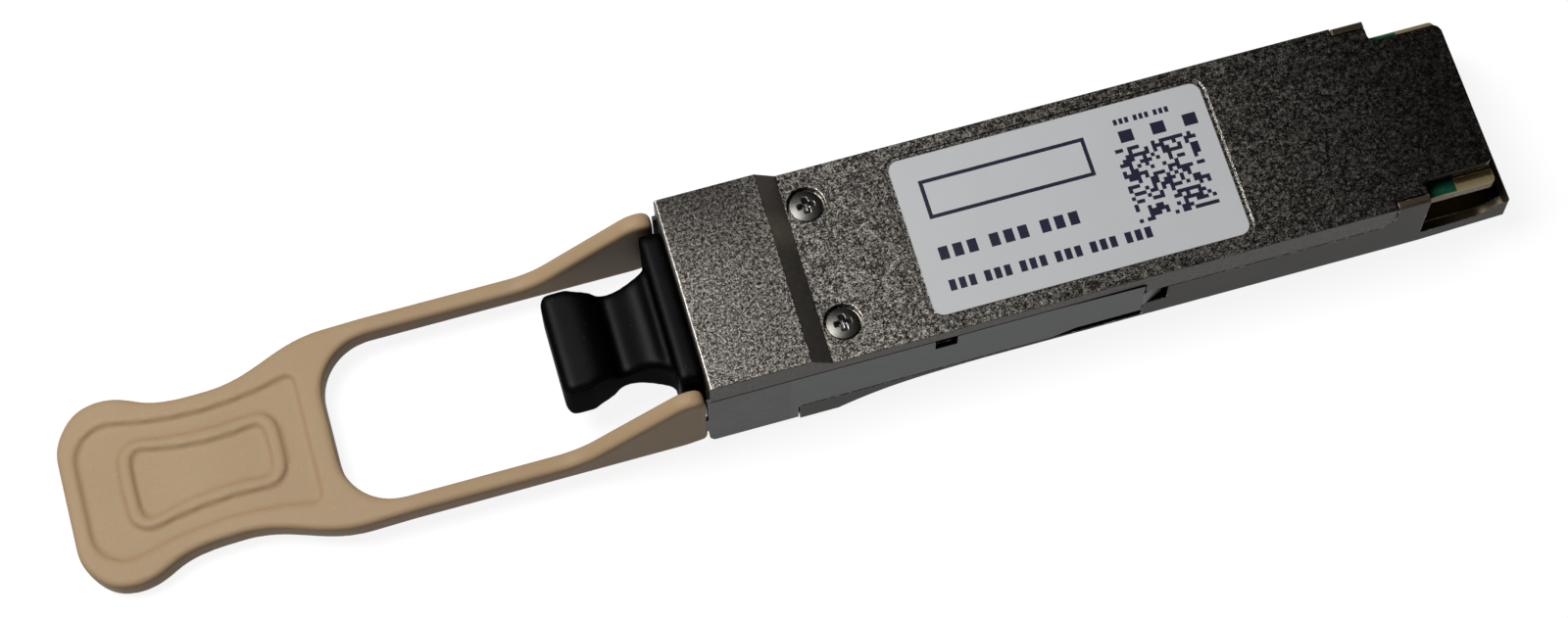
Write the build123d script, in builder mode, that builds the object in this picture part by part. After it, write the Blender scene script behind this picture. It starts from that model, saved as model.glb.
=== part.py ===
from build123d import *
from math import cos, radians, sin
import os

# Pluggable optical transceiver module, in millimetres.
# The origin is the centre of the optical port's mouth, on the nose's front face.
# +X runs to the electrical end, +Z to the label side.

# Housing, outside
body_width = 18.35
body_height = 8.5
nose_height = 12.55
nose_rise = 1.5
nose_top_length = 9.1
slope_length = 1.85
nose_foot_length = 11.5
ramp_length = 13.0
ramp_steep_run = 4.2
ramp_steep_rise = 2.1
ramp_flat_run = 5.5
ramp_flat_drop = 0.25
shoulder_distance = 65.3
hood_length = 6.5
hood_setback = 2.175
hood_wall = 0.85
hood_corner = 0.7
tray_overhang = 1.9
tray_setback = 0.225
tray_rail_height = 1.65
tray_rail_wall = 0.7
tray_lip_height = 2.9
tray_lip_wall = 0.7
tray_lip_run = 2.4
tray_corner = 0.15
seam_depth = 3.2
seam_line_width = 0.13
seam_line_depth = 0.3
notch_length = 3.05
notch_corner = 1.4
notch_gap = 0.12
notch_wall_round = 0.25
edge_break = 0.15

# Housing, inside
lid_wall = 0.9
floor_wall = 0.9
side_wall = 1.425
tail_side_wall = 0.815
tail_cavity_length = 7.8
nose_front_wall = 0.6
port_window_side_margin = 0.35
port_window_top_margin = 0.3

# Housing screws
screw_port_gap = 0.53
screw_edge_distance = 3.415
screw_recess_radius = 1.7
screw_recess_depth = 0.75
screw_head_radius = 1.45
screw_head_height = 0.7
screw_head_round = 0.3
screw_shank_radius = 0.7
screw_length = 5.6
screw_clearance = 0.05
thread_gap = 0.03
thread_depth = 4.0
cross_slot_length = 1.5
cross_slot_width = 0.34
cross_slot_depth = 0.4
boss_radius = 1.5

# Label
label_distance = 20.65
label_length = 28.75
label_side_margin = 1.575
label_thickness = 0.1
label_corner = 1.0
label_recess_depth = 0.15
label_recess_margin = 0.4

# Latch slide, bent from one steel strip
strip_thickness = 0.4
strip_clearance = 0.02
strip_edge_gap = 0.15
strip_bend_radius = 0.5
strip_overhang = 0.3
strip_top_depth = 1.6
strip_belly_gap = 0.5
bridge_length = 7.8
bridge_corner = 1.5
bridge_inner_corner = 0.6
flare_distance = 31.0
flare_length = 8.2
flare_width = 0.12
flare_step_run = 2.3
flare_step_rise = 0.85
flare_rise = 1.15
kick_length = 2.0
kick_depth = 0.5
kick_top_depth = 3.3
kick_bottom_depth = 5.8
kick_end_gap = 0.3
pocket_depth = 1.0
pocket_margin = 0.5
prong_length = 8.5
prong_top_depth = 5.6
prong_height = 2.6
prong_clearance = 0.03

# Return springs and their lugs on the slide
spring_radius = 0.65
spring_wire_radius = 0.13
spring_turns = 9
spring_length = 7.2
spring_seam_gap = 0.15
spring_clearance = 0.08
spring_wall = 0.5
lug_window_distance = 20.2
lug_window_length = 2.0
lug_window_drop = 0.9
lug_reach = 1.35
lug_height = 1.3

# Pull tab
arm_stand_out = 0.325
arm_thickness = 1.65
arm_end_gap = 0.45
arm_top_depth = 7.17
arm_height = 2.53
arm_blade_depth = 0.45
arm_slope_run = 9.45
arm_blade_flat = 2.1
arm_crest_radius = 2.9
arm_end_rise = 0.4
arm_blend_radius = 6.0
arm_corner_radius = 1.1
tab_edge_radius = 0.45
loop_length = 31.65
loop_corner = 5.0
pad_tilt = 3.5
pad_overlap = 0.2
pad_shoulder_distance = 3.7
pad_waist_distance = 14.8
pad_waist_inset = 2.55
pad_swell_distance = 20.2
pad_swell_inset = 1.95
pad_lobe_distance = 24.3
pad_lobe_inset = 0.65
pad_corner_distance = 27.95
pad_corner_inset = 2.55
pad_end_inset = 5.4
pad_length = 28.9
relief_depth = 0.4
panel_start = 7.0
panel_end = 27.4
panel_start_margin = 3.1
panel_waist_margin = 1.7
panel_end_margin = 1.1
panel_start_corner = 0.8
panel_end_corner = 3.2
ring_start = 9.7
ring_end = 23.5
ring_start_margin = 2.7
ring_waist_margin = 1.9
ring_end_margin = 3.1
ring_start_corner = 1.9
ring_end_corner = 1.9
ring_bow = 0.3
ring_band = 1.05
ring_inner_corner = 1.0

# Optical port
port_width = 12.5
port_height = 7.9
receptacle_side_wall = 1.1
receptacle_top_wall = 0.75
receptacle_length = 9.5
receptacle_back_wall = 1.0
receptacle_neck_width = 8.0
receptacle_neck_height = 4.4
receptacle_neck_length = 2.3
receptacle_clearance = 0.05
gasket_thickness = 0.5
gasket_band = 0.45
hook_side_gap = 1.05
hook_thickness = 0.6
hook_height = 3.0
hook_length = 5.6
hook_catch = 0.3
hook_catch_length = 0.9

# Ferrule, pins, clip, boot and ribbon
ferrule_face_distance = 7.2
ferrule_width = 6.4
ferrule_height = 2.5
ferrule_fit = 0.05
flange_length = 2.2
flange_width = 7.6
flange_height = 3.0
pin_radius = 0.35
pin_spacing = 4.6
pin_reach = 1.9
pin_fit = 0.02
pin_tip = 0.15
clip_thickness = 0.8
clip_width = 7.0
clip_height = 2.6
boot_seat = 1.0
boot_length = 3.4
boot_width = 3.6
boot_height = 1.3
ribbon_width = 3.1
ribbon_thickness = 0.3
ribbon_inset = 1.0
ribbon_fit = 0.02

# Dust plug
plug_gap = 0.05
plug_arm_gap = 0.55
plug_flange_overlap = 0.5
plug_flange_thickness = 2.0
plug_flange_corner = 0.8
plug_insert_length = 6.4
plug_insert_clearance = 0.15
plug_insert_corner = 0.5
plug_insert_wall = 0.7
plug_insert_floor = 0.9
tongue_length = 9.75
tongue_root_width = 10.8
tongue_neck_distance = 0.95
tongue_neck_width = 8.9
tongue_waist_distance = 2.5
tongue_waist_width = 7.85
tongue_lip_distance = 7.2
tongue_lip_width = 9.3
tongue_tip_width = 9.4
tongue_root_height = 4.6
tongue_ridge_distance = 1.1
tongue_ridge_height = 5.0
tongue_valley_distance = 4.4
tongue_valley_height = 2.8
tongue_lip_height = 6.0
tongue_round = 0.8

# Circuit board
card_depth = 2.0
card_thickness = 1.0
card_side_gap = 0.15
card_corner = 0.5
card_end_inset = 0.2
board_side_gap = 0.3
board_neck_gap = 0.595
board_neck_length = 7.0
board_start_gap = 3.6
board_step_clearance = 0.3
ledge_width = 0.85
ledge_length = 12.0
ledge_gap_to_step = 0.6
neck_ledge_width = 0.9
neck_ledge_length = 3.0

# Edge contacts
contact_centre_distance = 0.8
contact_edge_margin = 0.6
contact_width = 0.55
contact_length = 3.5
contact_inset = 0.1
contact_thickness = 0.04

# Parts on the board, each as length, width and height
lens_distance = 7.4
lens_length = 4.6
lens_width = 5.6
lens_base = 0.475
lens_wall = 0.8
lens_cavity_height = 0.9
lens_ribbon_depth = 1.2
die_size = (0.35, 1.05, 0.15)
die_spacing = 2.1
driver_gap = 0.5
driver_size = (2.2, 2.2, 0.4)
driver_spacing = 3.4
retimer_gap = 1.4
retimer_size = (5.0, 5.0, 0.9)
microcontroller_gap = 2.4
microcontroller_size = (4.0, 4.0, 0.75)
inductor_gap = 1.6
inductor_size = (2.0, 1.6, 1.0)
inductor_spacing = 2.6
capacitor_distance = 12.0
capacitor_size = (1.0, 0.5, 0.5)
capacitor_columns = 6
capacitor_centre_distance = 2.4
capacitor_row_distance = 6.0
thermal_pad_thickness = 0.5

# Heights
nose_top = nose_height / 2
nose_foot = -nose_height / 2
label_face = nose_top - nose_rise
belly = label_face - body_height
seam = label_face - seam_depth
lid_under = label_face - lid_wall
floor_top = belly + floor_wall
card_top = label_face - card_depth
card_bottom = card_top - card_thickness
screw_seat = label_face - screw_recess_depth
strip_top = label_face - strip_top_depth
strip_bottom = belly + strip_belly_gap
kick_top = label_face - kick_top_depth
kick_bottom = label_face - kick_bottom_depth
spring_height = seam + spring_seam_gap + spring_radius
lug_window_bottom = spring_height - lug_window_drop
arm_top = label_face - arm_top_depth
arm_bottom = arm_top - arm_height
port_window_height = port_height + 2 * port_window_top_margin
receptacle_height = port_height + 2 * receptacle_top_wall
plug_flange_height = port_height + 2 * plug_flange_overlap
lens_bottom = -ribbon_thickness / 2 - lens_base

# Stations along the module
slope_end = nose_top_length + slope_length
ramp_end = nose_foot_length + ramp_length
hood_end = shoulder_distance + hood_length
tray_end = hood_end + tray_overhang
notch_start = shoulder_distance - notch_length
tail_cavity_start = shoulder_distance - tail_cavity_length
ledge_end = tail_cavity_start - ledge_gap_to_step
ledge_start = ledge_end - ledge_length
receptacle_start = nose_front_wall + gasket_thickness
receptacle_end = receptacle_start + receptacle_length
nose_room_end = receptacle_end + receptacle_clearance
screw_distance = receptacle_end + screw_port_gap + screw_recess_radius
neck_end = receptacle_end + receptacle_neck_length
flange_end = neck_end + flange_length
board_start = flange_end + board_start_gap
board_neck_end = board_start + board_neck_length
card_end = hood_end + card_end_inset
lens_start = board_start + lens_distance
lens_end = lens_start + lens_length
driver_start = lens_end + driver_gap
retimer_start = driver_start + driver_size[0] + retimer_gap
microcontroller_start = retimer_start + retimer_size[0] + microcontroller_gap
inductor_start = microcontroller_start + microcontroller_size[0] + inductor_gap
flare_end = flare_distance + flare_length
kick_end = flare_end + kick_length
track_end = flare_end + strip_edge_gap
lug_start = lug_window_distance + lug_window_length
lug_end = lug_start + strip_thickness
spring_start = lug_start - spring_length
arm_end = -arm_end_gap
loop_front = arm_end - loop_length
bend = loop_front + loop_corner

# Faces across the module
side = body_width / 2
hood_width = body_width - 2 * hood_setback
tray_width = body_width - 2 * tray_setback
cavity_width = body_width - 2 * side_wall
tail_cavity_width = body_width - 2 * tail_side_wall
label_width = body_width - 2 * label_side_margin
port_window_width = port_width + 2 * port_window_side_margin
receptacle_width = port_width + 2 * receptacle_side_wall
strip_inner = side - strip_thickness
recess_face = strip_inner - strip_clearance
pocket_face = side - pocket_depth
cavity_side = cavity_width / 2
tail_side = tail_cavity_width / 2
spring_axis = recess_face - spring_clearance - spring_radius
spring_room_face = spring_axis - spring_radius - spring_clearance
spring_room_top = spring_height + spring_radius + spring_clearance
arm_outer = side + arm_stand_out
arm_inner = arm_outer - arm_thickness
screw_side = side - screw_edge_distance
plug_flange_width = 2 * (arm_inner - plug_arm_gap)
card_width = tail_cavity_width - 2 * card_side_gap
board_width = cavity_width - 2 * board_side_gap
board_neck_width = 2 * (spring_room_face - spring_wall - board_neck_gap)
contact_row_width = card_width - contact_width - 2 * contact_edge_margin
contact_count = 1 + int(contact_row_width / contact_centre_distance)
past = 1.0


def block(x_span, y_span, z_span, mode=Mode.ADD):
    # A box given by its two ends along each axis
    middle = [(span[0] + span[1]) / 2 for span in (x_span, y_span, z_span)]
    with Locations(tuple(middle)):
        Box(x_span[1] - x_span[0], abs(y_span[1] - y_span[0]), z_span[1] - z_span[0], mode=mode)


def across(width):
    # The two ends of a width centred on the module
    return (-width / 2, width / 2)


def save(part, name):
    part.label = name
    export_step(part, f"parts/{name}.step")


def cut_port_room():
    # Room for the receptacle and its gasket, and the window in the wall in front of them
    room_width = receptacle_width + 2 * receptacle_clearance
    room_height = receptacle_height + 2 * receptacle_clearance
    block((nose_front_wall, nose_room_end), across(room_width), across(room_height), mode=Mode.SUBTRACT)
    block((-past, nose_front_wall), across(port_window_width), across(port_window_height),
          mode=Mode.SUBTRACT)


def cut_latch_track():
    # Side tracks for the latch slide, deeper pockets for its kick-outs, and the seat of its bridge
    track_top = strip_top + strip_edge_gap
    track_bottom = strip_bottom - strip_edge_gap
    bridge_end = bridge_length + strip_edge_gap
    kick_room_top = kick_top + strip_clearance
    for hand in (-1, 1):
        with BuildSketch(Plane.XZ.offset(-hand * recess_face)) as track:
            with BuildLine():
                Polyline(
                    (-past, track_top), (track_end, track_top), (track_end, track_bottom),
                    (bridge_end, track_bottom), (bridge_end, nose_foot - past), (-past, nose_foot - past),
                    close=True,
                )
            make_face()
            fillet(track.vertices().sort_by_distance((bridge_end, track_bottom))[0],
                   bridge_inner_corner - strip_edge_gap)
        extrude(track.sketch, amount=-hand * (side + past - recess_face), mode=Mode.SUBTRACT)
        deep = (hand * pocket_face, hand * (side + past))
        block((flare_distance + pocket_margin, track_end), deep, (track_bottom, kick_room_top),
              mode=Mode.SUBTRACT)
        block((flare_end, kick_end + kick_end_gap), deep,
              (kick_bottom - strip_clearance, kick_room_top), mode=Mode.SUBTRACT)
    block((-past, bridge_end), across(body_width + past),
          (nose_foot - past, nose_foot + strip_thickness + strip_clearance), mode=Mode.SUBTRACT)


def make_top_shell():
    with BuildPart() as top_shell:
        # Side outline: nose, slope and label face
        with BuildSketch(Plane.XZ):
            with BuildLine():
                Polyline(
                    (0, seam), (0, nose_top), (nose_top_length, nose_top), (slope_end, label_face),
                    (hood_end, label_face), (hood_end, seam), close=True,
                )
            make_face()
        extrude(amount=side, both=True)
        nose_rim = top_shell.edges().filter_by(Axis.Y).group_by(Axis.X)[0].sort_by(Axis.Z)[-1]
        chamfer(nose_rim, edge_break)
        # Plan outline: full width to the notch, then stepped in to the hood
        with BuildSketch(Plane.XY.offset(seam)) as plan:
            Rectangle(notch_start, body_width, align=(Align.MIN, Align.CENTER))
            Rectangle(shoulder_distance, tail_cavity_width, align=(Align.MIN, Align.CENTER))
            Rectangle(hood_end, hood_width, align=(Align.MIN, Align.CENTER))
            hood_points = plan.vertices().filter_by(lambda point: abs(point.Y) < tail_side - edge_break)
            fillet(hood_points, hood_corner)
        extrude(amount=nose_top - seam, mode=Mode.INTERSECT)

        # Rooms inside
        cut_port_room()
        block((nose_room_end - past, tail_cavity_start), across(cavity_width), (seam - past, lid_under),
              mode=Mode.SUBTRACT)
        block((tail_cavity_start - past, shoulder_distance), across(tail_cavity_width),
              (seam - past, lid_under), mode=Mode.SUBTRACT)
        block((shoulder_distance - past, hood_end + past), across(body_width),
              (seam - past, label_face - hood_wall), mode=Mode.SUBTRACT)

        for hand in (-1, 1):
            # Screw boss
            with BuildSketch(Plane.XY.offset(seam)):
                with Locations((screw_distance, hand * screw_side)):
                    Circle(boss_radius)
            extrude(amount=lid_under - seam)
            # Rails that hold the board down
            block((ledge_start, ledge_end), (hand * (cavity_side - ledge_width), hand * cavity_side),
                  (card_top, lid_under))
            block((board_start, board_start + neck_ledge_length),
                  (hand * (board_neck_width / 2 - neck_ledge_width), hand * board_neck_width / 2),
                  (card_top, lid_under))
            # Wall round the return spring
            block((spring_start - spring_wall, lug_end + spring_wall),
                  (hand * (spring_room_face - spring_wall), hand * cavity_side), (seam, lid_under))

        cut_latch_track()
        for hand in (-1, 1):
            block((spring_start, lug_end + spring_clearance),
                  (hand * spring_room_face, hand * (side + past)), (seam - past, spring_room_top),
                  mode=Mode.SUBTRACT)

        # The seam curls up at the notch
        seam_ends = top_shell.edges().filter_by(Axis.Y).filter_by(
            lambda edge: abs(edge.center().X - notch_start) < edge_break
            and abs(edge.center().Z - seam) < edge_break)
        fillet(seam_ends, notch_corner)

        # Label recess, screw recesses and screw holes
        with BuildSketch(Plane.XY.offset(label_face)):
            with Locations((label_distance + label_length / 2, 0)):
                RectangleRounded(label_length + 2 * label_recess_margin,
                                 label_width + 2 * label_recess_margin,
                                 label_corner + label_recess_margin)
        extrude(amount=-label_recess_depth, mode=Mode.SUBTRACT)
        with BuildSketch(Plane.XY.offset(screw_seat)):
            with Locations((screw_distance, -screw_side), (screw_distance, screw_side)):
                Circle(screw_recess_radius)
        extrude(amount=nose_top - screw_seat, mode=Mode.SUBTRACT)
        with BuildSketch(Plane.XY.offset(seam)):
            with Locations((screw_distance, -screw_side), (screw_distance, screw_side)):
                Circle(screw_shank_radius + screw_clearance)
        extrude(amount=nose_top - seam, mode=Mode.SUBTRACT)
    save(top_shell.part, "top_shell")


def make_base_shell():
    rail_top = belly + tray_rail_height
    lip_top = belly + tray_lip_height
    lip_start = tray_end - tray_lip_wall
    rise_start = lip_start - tray_lip_run
    with BuildPart() as base_shell:
        # Side outline: deep nose, ramp, side walls and low tray with a raised end
        with BuildSketch(Plane.XZ):
            with BuildLine():
                Polyline(
                    (nose_foot_length, nose_foot), (0, nose_foot), (0, seam), (shoulder_distance, seam),
                    (shoulder_distance, rail_top), (rise_start, rail_top),
                )
                Spline([(rise_start, rail_top), (lip_start, lip_top)], tangents=[(1, 0), (1, 0.4)])
                Polyline((lip_start, lip_top), (tray_end, lip_top), (tray_end, belly), (ramp_end, belly))
                Bezier(
                    (ramp_end, belly), (ramp_end - ramp_flat_run, belly - ramp_flat_drop),
                    (nose_foot_length + ramp_steep_run, nose_foot + ramp_steep_rise),
                    (nose_foot_length, nose_foot),
                )
            make_face()
        extrude(amount=side, both=True)
        # Plan outline: the tray tapers in a little to its end
        with BuildSketch(Plane.XY.offset(nose_foot)):
            with BuildLine():
                Polyline(
                    (0, 0), (0, side), (shoulder_distance, side), (tray_end, tray_width / 2), (tray_end, 0),
                )
                mirror(about=Plane.XZ)
            make_face()
        extrude(amount=seam - nose_foot, mode=Mode.INTERSECT)
        tail_corners = base_shell.edges().filter_by(Axis.Z).group_by(Axis.X)[-1]
        chamfer(tail_corners, tray_corner)

        # Rooms inside
        cut_port_room()
        block((nose_room_end - past, tail_cavity_start), across(cavity_width), (floor_top, seam + past),
              mode=Mode.SUBTRACT)
        block((tail_cavity_start - past, shoulder_distance), across(tail_cavity_width),
              (floor_top, seam + past), mode=Mode.SUBTRACT)
        block((shoulder_distance - past, lip_start), across(tray_width - 2 * tray_rail_wall),
              (floor_top, seam + past), mode=Mode.SUBTRACT)

        # Walls that stand in the top shell's notches
        wall_foot = notch_start + notch_gap
        wall_face = tail_side + notch_gap
        for hand in (-1, 1):
            block((wall_foot, shoulder_distance), (hand * wall_face, hand * side), (seam, label_face))
            with BuildSketch(Plane.XZ.offset(-hand * wall_face)):
                with BuildLine():
                    Line((wall_foot, seam), (wall_foot, seam + notch_corner))
                    RadiusArc((wall_foot, seam + notch_corner), (wall_foot - notch_corner, seam),
                              notch_corner)
                    Line((wall_foot - notch_corner, seam), (wall_foot, seam))
                make_face()
            extrude(amount=-hand * (side - wall_face))
            # Fine groove that marks the seam
            block((track_end, wall_foot - notch_corner),
                  (hand * (side - seam_line_depth), hand * (side + past)),
                  (seam - seam_line_width, seam + past), mode=Mode.SUBTRACT)
        wall_rims = base_shell.edges().filter_by(Axis.X).filter_by(
            lambda edge: abs(edge.center().Z - label_face) < edge_break
            and abs(abs(edge.center().Y) - side) < edge_break)
        fillet(wall_rims, notch_wall_round)

        # Screw bosses, board ledges, ferrule saddle and chip pedestals
        for hand in (-1, 1):
            with BuildSketch(Plane.XY.offset(floor_top)):
                with Locations((screw_distance, hand * screw_side)):
                    Circle(boss_radius)
            extrude(amount=seam - floor_top)
            block((ledge_start, ledge_end), (hand * (cavity_side - ledge_width), hand * cavity_side),
                  (floor_top, card_bottom))
            block((board_start, board_start + neck_ledge_length),
                  (hand * (board_neck_width / 2 - neck_ledge_width), hand * board_neck_width / 2),
                  (floor_top, card_bottom))
        block((neck_end, flange_end), across(flange_width), (floor_top, -flange_height / 2))
        driver_seat = card_bottom - driver_size[2] - thermal_pad_thickness
        block((driver_start, driver_start + driver_size[0]), across(driver_spacing + driver_size[1]),
              (floor_top, driver_seat))
        retimer_seat = card_bottom - retimer_size[2] - thermal_pad_thickness
        block((retimer_start, retimer_start + retimer_size[0]), across(retimer_size[1]),
              (floor_top, retimer_seat))

        cut_latch_track()
        # Round the nose's foot to the inside of the slide's bends
        bridge_seat = nose_foot + strip_thickness + strip_clearance
        foot_edges = base_shell.edges().filter_by(Axis.X).filter_by(
            lambda edge: abs(edge.center().Z - bridge_seat) < edge_break
            and abs(abs(edge.center().Y) - recess_face) < edge_break)
        fillet(foot_edges, strip_bend_radius - strip_thickness)
        with BuildSketch(Plane.XY.offset(seam)):
            with Locations((screw_distance, -screw_side), (screw_distance, screw_side)):
                Circle(screw_shank_radius + thread_gap)
        extrude(amount=-thread_depth, mode=Mode.SUBTRACT)
    save(base_shell.part, "base_shell")


def make_housing_screws():
    with BuildPart() as screws:
        for hand in (-1, 1):
            spot = (screw_distance, hand * screw_side)
            with BuildSketch(Plane.XY.offset(screw_seat - screw_length)):
                with Locations(spot):
                    Circle(screw_shank_radius)
            extrude(amount=screw_length)
            with BuildSketch(Plane.XY.offset(screw_seat)):
                with Locations(spot):
                    Circle(screw_head_radius)
            extrude(amount=screw_head_height)
        head_rims = screws.edges().filter_by(GeomType.CIRCLE).group_by(Axis.Z)[-1]
        fillet(head_rims, screw_head_round)
        with BuildSketch(Plane.XY.offset(screw_seat + screw_head_height)):
            with Locations((screw_distance, -screw_side), (screw_distance, screw_side)):
                Rectangle(cross_slot_length, cross_slot_width)
                Rectangle(cross_slot_width, cross_slot_length)
        extrude(amount=-cross_slot_depth, mode=Mode.SUBTRACT)
    save(screws.part, "housing_screws")


def make_label():
    with BuildPart() as label:
        with BuildSketch(Plane.XY.offset(label_face - label_recess_depth)):
            with Locations((label_distance + label_length / 2, 0)):
                RectangleRounded(label_length, label_width, label_corner)
        extrude(amount=label_thickness)
    save(label.part, "label")


def make_latch_slide():
    front = -strip_overhang
    with BuildPart() as slide:
        # U section round the nose's foot, run back along both sides
        block((front, flare_distance), across(body_width), (nose_foot, strip_top))
        block((front - past, flare_distance + past), across(2 * strip_inner),
              (nose_foot + strip_thickness, strip_top + past), mode=Mode.SUBTRACT)
        foot_edges = slide.edges().filter_by(Axis.X).group_by(Axis.Z)
        fillet(foot_edges[0], strip_bend_radius)
        inner_edges = slide.edges().filter_by(Axis.X).filter_by(
            lambda edge: abs(edge.center().Z - nose_foot - strip_thickness) < edge_break
            and abs(abs(edge.center().Y) - strip_inner) < edge_break)
        fillet(inner_edges, strip_bend_radius - strip_thickness)
        # Flared ends with kick-out tongues
        for hand in (-1, 1):
            outer_line = [(flare_distance, side), (flare_end, side + flare_width),
                          (kick_end, side - kick_depth)]
            inner_line = [(x, y - strip_thickness) for x, y in outer_line]
            with BuildSketch(Plane.XY.offset(strip_bottom)):
                with BuildLine():
                    Polyline([(x, hand * y) for x, y in outer_line + inner_line[::-1]], close=True)
                make_face()
            extrude(amount=strip_top - strip_bottom)
        # Side outline of the blank
        with BuildSketch(Plane.XZ) as blank:
            with BuildLine():
                Polyline(
                    (front, strip_top), (flare_end, strip_top), (flare_end, kick_top),
                    (kick_end, kick_top), (kick_end, kick_bottom), (flare_end, kick_bottom),
                    (flare_end, strip_bottom + flare_rise),
                    (flare_distance + flare_step_run, strip_bottom + flare_step_rise),
                    (flare_distance, strip_bottom),
                    (bridge_length, strip_bottom), (bridge_length, nose_foot), (front, nose_foot),
                    close=True,
                )
            make_face()
            fillet(blank.vertices().sort_by_distance((front, nose_foot))[0], bridge_corner)
            fillet(blank.vertices().sort_by_distance((bridge_length, strip_bottom))[0], bridge_inner_corner)
        extrude(amount=body_width, both=True, mode=Mode.INTERSECT)
        # Prongs that the pull tab is moulded on, spring windows and spring lugs
        for hand in (-1, 1):
            prong_top = label_face - prong_top_depth
            block((front - prong_length, front), (hand * strip_inner, hand * side),
                  (prong_top - prong_height, prong_top))
            block((lug_window_distance, lug_start), (hand * (strip_inner - past), hand * (side + past)),
                  (lug_window_bottom, strip_top + past), mode=Mode.SUBTRACT)
            block((lug_start, lug_end), (hand * (strip_inner - lug_reach), hand * strip_inner),
                  (spring_height - lug_height / 2, spring_height + lug_height / 2))
    save(slide.part, "latch_slide")


def make_return_spring(hand, name):
    pitch = (spring_length - 2 * spring_wire_radius) / spring_turns
    start = spring_start + spring_wire_radius
    with BuildPart() as spring:
        with BuildLine() as wire:
            Helix(pitch, pitch * spring_turns, spring_radius - spring_wire_radius,
                  center=(start, hand * spring_axis, spring_height), direction=(1, 0, 0))
        with BuildSketch(Plane(origin=wire.line @ 0, z_dir=wire.line % 0)):
            Circle(spring_wire_radius)
        sweep()
    save(spring.part, name)


def make_arm(hand):
    # One arm of the pull tab: a flat strap that deepens into a tall blade beside the port
    blade_top = label_face - arm_blade_depth
    blade_start = arm_end - arm_blade_flat
    with BuildPart() as arm:
        with BuildSketch(Plane.XZ.offset(-hand * arm_inner)) as outline:
            with BuildLine():
                Polyline(
                    (bend, arm_bottom), (bend, arm_top), (blade_start - arm_slope_run, arm_top),
                    (blade_start, blade_top), (arm_end, blade_top), (arm_end, arm_bottom + arm_end_rise),
                    (blade_start, arm_bottom), close=True,
                )
            make_face()
            corners = outline.vertices()
            fillet(corners.sort_by_distance((blade_start - arm_slope_run, arm_top))[0], arm_blend_radius)
            fillet(outline.vertices().sort_by_distance((blade_start, blade_top))[0], arm_crest_radius)
            fillet(outline.vertices().sort_by_distance((arm_end, blade_top))[0], arm_corner_radius)
        extrude(amount=-hand * arm_thickness)
        long_edges = arm.edges().filter_by(lambda edge: abs(abs(edge.center().Y) - arm_inner) < edge_break
                                           or abs(abs(edge.center().Y) - arm_outer) < edge_break)
        kept = long_edges.filter_by(lambda edge: edge.center().X > bend + edge_break)
        fillet(kept, tab_edge_radius)
        # Slot that the slide's prong fills
        prong_top = label_face - prong_top_depth
        block((-strip_overhang - prong_length - prong_clearance, past),
              (hand * (strip_inner - prong_clearance), hand * (side + prong_clearance)),
              (prong_top - prong_height - prong_clearance, prong_top + prong_clearance), mode=Mode.SUBTRACT)
    return arm.part


def waisted_panel(start, end, sides, corners, bow=0):
    # A flat panel for a sketch: ends bowed out, waisted where the pad is, rounded corners
    start_side, waist_side, end_side = sides
    with BuildSketch(mode=Mode.PRIVATE) as panel:
        with BuildLine():
            Spline([(start - bow, 0), (start, start_side)], tangents=[(0, 1), (2 * bow, start_side)])
            Spline([(start, start_side), (pad_waist_distance, waist_side), (end, end_side)])
            Spline([(end, end_side), (end + bow, 0)], tangents=[(2 * bow, -end_side), (0, -1)])
            mirror(about=Plane.XZ)
        make_face()
        for place, corner in ((start, corners[0]), (end, corners[1])):
            fillet(panel.vertices().filter_by(lambda point: abs(point.X - place) < edge_break
                                              and abs(point.Y) > edge_break), corner)
    return panel.sketch


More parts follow.
